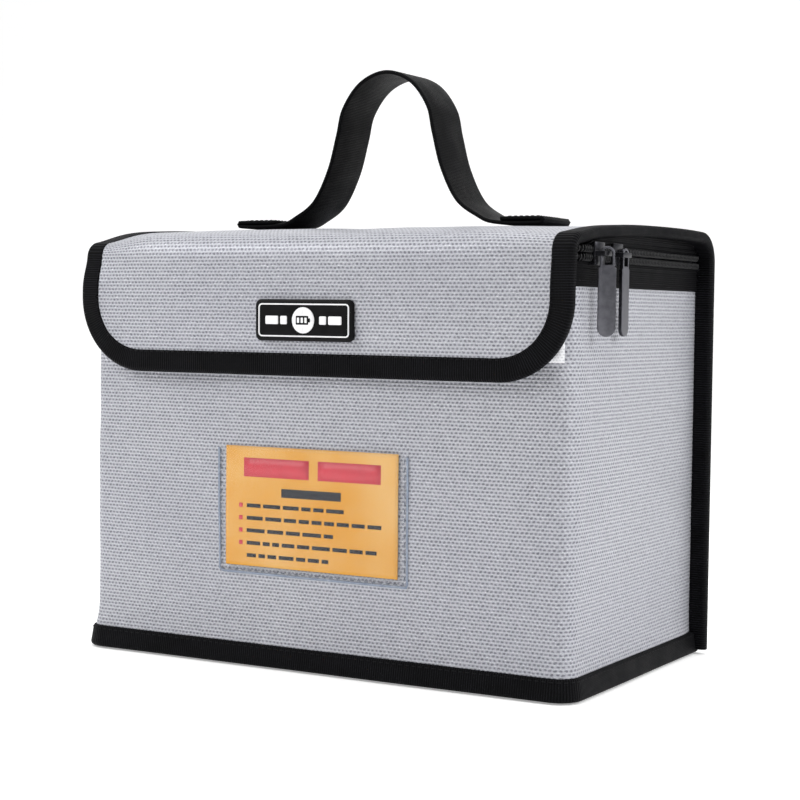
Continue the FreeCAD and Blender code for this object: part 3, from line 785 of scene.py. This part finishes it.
def linings():
    """Inner cloth of the box: walls that turn over the padding's top edge, and a floor."""
    plan, out, along = wall_path(0, WRAP_END_Y)
    floor_z, floor_x, floor_y = 5.4, HALF_W - 4, BACK_Y - 4
    profile = np.array([[-0.9, WALL_TOP - 3], [-1.2, WALL_TOP + 0.3], [-2.6, WALL_TOP + 0.7],
                        [-4.0, WALL_TOP + 0.2], [-4.3, WALL_TOP - 4], [-4.3, 90], [-4.3, 30],
                        [-4.1, floor_z + 0.2]])
    setback, z = evenly(profile, 3.0)[None, ::-1].transpose(2, 0, 1)
    lift = setback + 0.3 * ripples(along[:, None], z, 41) * (z < WALL_TOP - 6)
    outer, inner = (off_plan(plan, out, lift + depth, z) for depth in (0, 0.4))
    walls = sheet_mesh("wall_lining_cloth", outer, inner, surface_points(along[:, None], z), LINING, "body")
    x, y = grid(floor_x * np.linspace(-1, 1, 50), floor_y * np.linspace(-1, 1, 34))
    outer = surface_points(x, y, floor_z + 0.25 * ripples(x, y, 43))
    floor = sheet_mesh("floor_lining_cloth", outer, outer - [0, 0, 0.5], surface_points(x, y), LINING, "body")
    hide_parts("body_lining")


def flap_lift(x, z):
    """How far the flap's skin stands in front of its flat plane at a place on it."""
    return panel_swell(x, np.interp(z, [FLAP_LOW, FLAP_TOP], [SPINE_S[-1], NOSE_S]))


def badge():
    """The moulded badge: a soft-edged black plate, a raised white border line, a plain disc with a battery
    sign, and a bar on each side."""
    centre = (BADGE_LOW + BADGE_HIGH) / 2
    half_w, _, half_h = (BADGE_HIGH - BADGE_LOW) / 2
    rise = flap_lift(0.0, centre[2])
    face, line_inset = 1.5, 1.6
    top = face + 0.3

    def follow(x, z):
        """The stiff badge follows a quarter of the flap's swell."""
        return 0.75 * rise + 0.25 * flap_lift(x, z)

    def moulded(name, dx, w, h, radius, profile, material, ring=False):
        """A part of the badge, dx beside its middle, from its half width and half height."""
        return pad(name, (dx, FLAP_Y, centre[2]), w, h, radius, profile, material, "flap", follow, ring)

    plate = moulded("badge_plate", 0, half_w, half_h, 2.4, [
        (0.4, -0.8), (0.0, 0.3), (0.0, 0.9), (0.25, 1.35), (0.7, face), (4.0, face), (7.6, face)], RUBBER)
    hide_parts("badge_base")
    line = moulded("badge_border_line", 0, half_w - line_inset, half_h - line_inset, line_inset, [
        (0.0, face - 0.2), (0.05, face + 0.2), (0.15, top),
        (0.45, top), (0.55, face + 0.2), (0.6, face - 0.2),
    ], WHITE_PVC, ring=True)
    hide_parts("badge_border")
    raised = [(0.0, face - 0.2), (0.0, face + 0.2), (0.12, face + 0.32)]
    domed = raised + [(2.0, face + 0.34), (4.9, face + 0.34)]
    disc = moulded("badge_disc", 0, 5.0, 5.0, 5.0, domed, WHITE_PVC)
    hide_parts("badge_emblem")
    for index, (dx, w) in enumerate(((-14.2, 2.9), (-8.8, 1.5), (8.8, 1.5), (14.2, 2.9))):
        bar = moulded("badge_bar_%d" % index, dx, w, 1.6, 0.5, raised + [(1.4, face + 0.32)], WHITE_PVC)
    for name, dx, w, h in (("case", -0.3, 2.8, 1.7), ("terminal", 2.9, 0.4, 0.8)):
        mark = moulded("badge_battery_" + name, dx, w, h, 0.35, [
            (0.0, top - 0.2), (0.0, top + 0.1), (0.1, top + 0.16), (min(w, h) - 0.02, top + 0.16)], RUBBER)
    for index in range(3):
        cell = moulded("badge_battery_cell_%d" % index, -2.0 + 1.7 * index, 0.5, 1.0, 0.15, [
            (0.0, top + 0.1), (0.0, top + 0.22), (0.1, top + 0.26), (0.48, top + 0.26)], WHITE_PVC)


def card_lift(x, z):
    """How far the card stands in front of the flat front wall. It rests on the swollen cloth at its place and
    on all that it slides over on its way up and out."""
    return np.max([front_swell(x, z + up) for up in (0, 6, 12, 18, 23)], axis=0) + 0.25


def card_and_pocket():
    """The amber card with plain printed bars, behind a clear film sewn down on three sides."""
    half_w, top = (CARD_HIGH[0] - CARD_LOW[0]) / 2, CARD_HIGH[2]
    card_face, ink_face = 0.35, 0.39

    def draped(name, x0, x1, z0, z1, lift, thickness, material, body, columns=40, rows=26):
        """A thin sheet that lies on the front wall as the card does. Its face stands off by the lift."""
        x, z = grid(np.linspace(x0, x1, columns), np.linspace(z0, z1, rows))
        raise_by = lift(x, z) if callable(lift) else lift
        outer = surface_points(x, FRONT_Y - card_lift(x, z) - raise_by, z)
        return sheet_mesh(name, outer, outer + [0, thickness, 0], surface_points(x, z), material, body)

    card = draped("insert_card", -half_w, half_w, CARD_LOW[2], top, card_face, 0.3, CARD, "card")
    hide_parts("info_card")

    def printed(name, x, z, w, h, material):
        bar = draped(name, x - w / 2, x + w / 2, z - h / 2, z + h / 2, ink_face, 0.06, material, "card",
                     max(int(w / 3), 2), 3)

    for index, (x, w) in enumerate(((-15.5, 30.0), (17.5, 28.0))):
        printed("card_title_%d" % index, x, top - 8.2, w, 7.4, RED_INK)
    printed("card_heading", 0.5, top - 17.6, 27.0, 3.4, DARK_INK)
    margin, first_row, row_pitch, line_h, word_gap = -half_w + 10, top - 23.2, 4.9, 1.5, 1.2
    draw = np.random.default_rng(7)
    for row, (length, has_dot) in enumerate(((46, True), (62, True), (41, True), (59, True), (38, False))):
        z = first_row - row * row_pitch
        if has_dot:
            printed("card_dot_%d" % row, margin - 2.8, z, 1.7, 1.7, RED_INK)
        x, word = margin, 0
        while x < margin + length:
            w = min(draw.uniform(3.0, 8.5), margin + length - x)
            if w > 1:
                printed("card_line_%d_%d" % (row, word), x + w / 2, z, w, line_h, DARK_INK)
            x += w + word_gap
            word += 1

    x0, x1, z0, z1 = FILM_LOW[0], FILM_HIGH[0], FILM_LOW[2], FILM_HIGH[2]

    def film_lift(x, z):
        """The film lies on the wall at its sewn edges and stands in front of the card inside them."""
        inside = np.minimum(np.minimum(x - x0, x1 - x), z - z0) - 2.2
        loose = ease(inside / 2.5)
        sewn_down = (card_lift(x, z) - front_swell(x, z)) * (1 - loose)
        bubble = 0.25 * ease(inside / 25) * (1 + ripples(x * 1.7, z * 1.7, 61))
        return 0.3 - sewn_down + 0.5 * loose + bubble

    film = draped("pocket_film", x0, x1, z0, z1, film_lift, 0.25, FILM, "body", 60, 40)
    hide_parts("card_window")
    seam_inset, rim_inset = 1.3, 0.3
    down = np.linspace(z1 - 1, z0 + seam_inset, 30)

    def three_sides(inset):
        """Line down the film's left side, across its bottom and up its right side."""
        across = np.linspace(x0 + inset, x1 - inset, 50)
        return np.concatenate([surface_points(x0 + inset, down), surface_points(across, z0 + inset)[1:],
                               surface_points(x1 - inset, down[::-1])[1:]])

    def on_front(line, lift):
        """A line laid on the swollen front wall."""
        x, z = line[:, 0], line[:, 1]
        return surface_points(x, FRONT_Y - front_swell(x, z) - lift, z)

    rim = on_front(evenly(three_sides(rim_inset), 1.5), 0.2)
    forward = all_along(FORWARD, rim)
    edge = soft_bar(0.9, 0.5, 0.2, 3)
    sweep("pocket_rim", rim, across_path(rim, forward), forward, edge, FILM_EDGE, "body")
    seam = evenly(on_front(three_sides(seam_inset), 0.35), 1.0)
    stitches("pocket_stitches", seam, all_along(FORWARD, seam), 3.1, GREY_THREAD, "body", width=0.5)


def facing():
    """The bright strip of cloth sewn across the top of the front wall behind the flap, painted whiter than
    the wall cloth as a painted highlight, and the loop strip.
    """
    for node, name, half_w, columns, lift, thickness, material, slot_name in (
        ("front_facing", "facing_cloth", HALF_W - 3.0, 120, 0.6, 0.8, FACING, "silver_fabric"),
        ("loop_strip", "loop_strip_cloth", span("loop_strip")[1][0], 60, 1.4, 0.7, FUZZ, "touch_fastener"),
    ):
        low, high = span(node)
        x, z = grid(np.linspace(-half_w, half_w, columns), np.linspace(low[2], high[2], 10))
        past_fold = np.maximum(np.abs(x) - HALF_W + FOLD_R, 0)
        round_fold = FOLD_R - np.sqrt(FOLD_R ** 2 - past_fold ** 2)
        outer = surface_points(x, FRONT_Y - front_swell(x, z) - lift + round_fold, z)
        strip = sheet_mesh(name, outer, outer + [0, thickness, 0], surface_points(x, z), material, "body")
        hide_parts(node)


def handle():
    """One length of webbing: folded double at each sewn foot, flat on the lid, then up and over in a loop."""
    floor_z = CROWN_Z + 0.6 + STRAP_T / 2
    end = FOOT_END
    half = np.array([
        [end - 19, floor_z + STRAP_T + 0.1], [end - 3, floor_z + STRAP_T + 0.1],
        [end - 0.8, floor_z + STRAP_T * 0.9], [end - 0.8, floor_z + STRAP_T * 0.2],
        [end - 3, floor_z], [end - 13, floor_z - 0.1], [49, floor_z + 0.6], [43, floor_z + 3.0],
        [33.5, CROWN_Z + 11.0], [26.5, CROWN_Z + 24], [22.5, CROWN_Z + 38], [19.6, CROWN_Z + 49],
        [11.6, CROWN_Z + 59], [0, LOOP_HIGH[2] - STRAP_T / 2],
    ])
    half = np.concatenate([half, half[-2::-1] * [-1, 1]])
    line = evenly(bend_through(half, 700), 1.0)
    line = surface_points(line[:, 0], 0.0, line[:, 1])
    heading = unit(np.gradient(line, axis=0))
    wide = all_along([0.0, 1.0, 0.0], line)
    thick = unit(np.cross(heading, wide))
    section = soft_bar(LOOP_HIGH[1] - LOOP_LOW[1], STRAP_T, 0.6, 4)
    belt = sweep("handle_webbing", line, wide, thick, section, WEBBING)
    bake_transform(belt)
    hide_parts("handle_loop", "handle_foot_left", "handle_foot_right")
    for side, name in ((1, "right"), (-1, "left")):
        x0, x1, y1 = side * (end - 17), side * (end - 3.5), 10.0
        ring = np.array([[x0, -y1], [x1, -y1], [x1, y1], [x0, y1], [x0, -y1], [x1, y1]])
        path = evenly(add_height(ring, floor_z + 1.5 * STRAP_T + 0.15), 1.0)
        stitches("foot_stitches_" + name, path, all_along(UPWARD, path), 2.4, THREAD, "lid")


def casting(node, width):
    """A slider or pull: its CAD shape with the loose triangles joined and the edges rounded."""
    thing = new_object(node + "_casting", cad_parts[node].data.copy())
    thing.data.materials.clear()
    thing.data.materials.append(GUNMETAL)
    weld = thing.modifiers.new("weld", "WELD")
    weld.merge_threshold = 0.00001
    flat = thing.modifiers.new("flat", "DECIMATE")
    flat.decimate_type = "DISSOLVE"
    flat.angle_limit = math.radians(1)
    bevel = thing.modifiers.new("bevel", "BEVEL")
    bevel.width = width * MM
    bevel.segments = 3
    bevel.limit_method = "ANGLE"
    bevel.angle_limit = math.radians(32)
    bevel.harden_normals = True
    thing.data.polygons.foreach_set("use_smooth", np.full(len(thing.data.polygons), True))
    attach(thing, node)
    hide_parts(node)
    return thing


def sliders():
    """Cast sliders and their pulls, each pull with a duller face set into its tongue, painted lighter as a
    painted reflection.
    """
    for name in ("slider_front", "slider_rear"):
        casting(name, 0.35)
    for name in ("pull_front", "pull_rear"):
        pull = casting(name, 0.6)
        pull.data.materials.append(PULL_FACE)
        largest = max(pull.data.polygons, key=lambda face: face.area).normal.copy()
        for face in pull.data.polygons:
            face.material_index = int(abs(face.normal.dot(largest)) > 0.95)


def carried_over():
    """CAD pieces whose shape is right keep it and get their real finish."""
    finishes = {
        "insulation_wrap": FELT, "insulation_base": FELT, "hook_strip": FUZZ,
        "zip_stop_left": GUNMETAL, "zip_stop_right": GUNMETAL,
    }
    for node, material in finishes.items():
        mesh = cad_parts[node].data
        mesh.materials.clear()
        mesh.materials.append(material)


# ---- room, lights and camera

def room():
    """A plain pale floor and backdrop in one sheet, curved up behind the bag."""
    profile = np.concatenate([[[-3000, 0], [900, 0]], arc((900, 900), 900, -90, 0, 24), [[1800, 3500]]])
    profile = evenly(profile, 60)
    turn = math.radians(CAMERA_AZIMUTH)
    x, y = grid(np.linspace(-3500, 3500, 30), profile[:, 0])
    points = surface_points(x * math.cos(turn) - y * math.sin(turn), x * math.sin(turn) + y * math.cos(turn),
                            profile[:, 1])
    faces, _, _ = grid_faces(*points.shape[:2])
    paper, _, shader = surface("backdrop_paper", Roughness=0.9)
    shader.inputs["Base Color"].default_value = linear("f7f7f7")
    shader.inputs["Emission Color"].default_value = linear("ffffff")
    shader.inputs["Emission Strength"].default_value = 0.3
    sheet = place("backdrop", points.reshape(-1, 3), faces.tolist(), np.zeros((faces.size, 2)), paper)


def area_light(name, at, size, power, target=(0, 0, 90)):
    """A softbox that looks at a point on the bag. Places and sizes are in millimetres, power in watts."""
    light = bpy.data.lights.new(name, "AREA")
    light.shape = "RECTANGLE"
    light.size, light.size_y = size[0] * MM, size[1] * MM
    light.energy = power
    lamp = new_object(name, light)
    lamp.matrix_world = facing_matrix(np.array(at, float), np.array(target, float), 0.0)


def facing_matrix(at, target, roll_deg):
    """Matrix of a lamp or camera at a place, looking at a target, rolled about its view."""
    forward = unit(target - at)
    right = unit(np.cross(forward, UPWARD))
    up = np.cross(right, forward)
    roll = math.radians(roll_deg)
    right, up = right * math.cos(roll) + up * math.sin(roll), -right * math.sin(roll) + up * math.cos(roll)
    rows = np.column_stack([right, up, -forward, at * MM])
    return Matrix(rows.tolist() + [[0, 0, 0, 1]])


# The camera's angles are in degrees, its places and its lens in millimetres.
CAMERA_AZIMUTH = 29.64
CAMERA_PITCH = 2.66
CAMERA_ROLL = 0.72
CAMERA_DISTANCE = 758.0
CAMERA_ASIDE = 1.6
CAMERA_HEIGHT = 139.0
LENS = 82.4


def camera():
    """A long lens a little above half the bag's height, seeing the front and the right side."""
    a, p = math.radians(CAMERA_AZIMUTH), math.radians(CAMERA_PITCH)
    level = np.array([-math.sin(a), math.cos(a), 0])
    right = np.array([math.cos(a), math.sin(a), 0])
    at = -level * CAMERA_DISTANCE + right * CAMERA_ASIDE + [0, 0, CAMERA_HEIGHT]
    target = at + level * math.cos(p) * 1000 - np.array([0, 0, math.sin(p) * 1000])
    data = bpy.data.cameras.new("camera")
    data.lens = LENS
    data.sensor_width = 36
    data.clip_start, data.clip_end = 0.01, 50
    thing = new_object("camera", data)
    thing.matrix_world = facing_matrix(at, target, CAMERA_ROLL)
    bpy.context.scene.camera = thing


def lights():
    """Large softboxes at the front left, at the right and above, and a bright even room."""
    world = bpy.data.worlds.new("studio")
    world.use_nodes = True
    colour, strength = world.node_tree.nodes["Background"].inputs[:2]
    colour.default_value, strength.default_value = (1.0, 1.0, 1.0, 1.0), 0.36
    bpy.context.scene.world = world
    area_light("key", (-400, -440, 540), (420, 300), 2.9, target=(-30, -60, 150))
    area_light("side", (900, 60, 620), (500, 600), 6.0)
    area_light("top", (0, 100, 1500), (1000, 800), 12)


outer_walls()
base_cloth()
long_panel()
long_tape()
base_tape()
zip_tapes()
zip_coils()
linings()
badge()
card_and_pocket()
facing()
handle()
sliders()
carried_over()
room()
lights()
camera()
bpy.context.scene.view_settings.view_transform = "Standard"
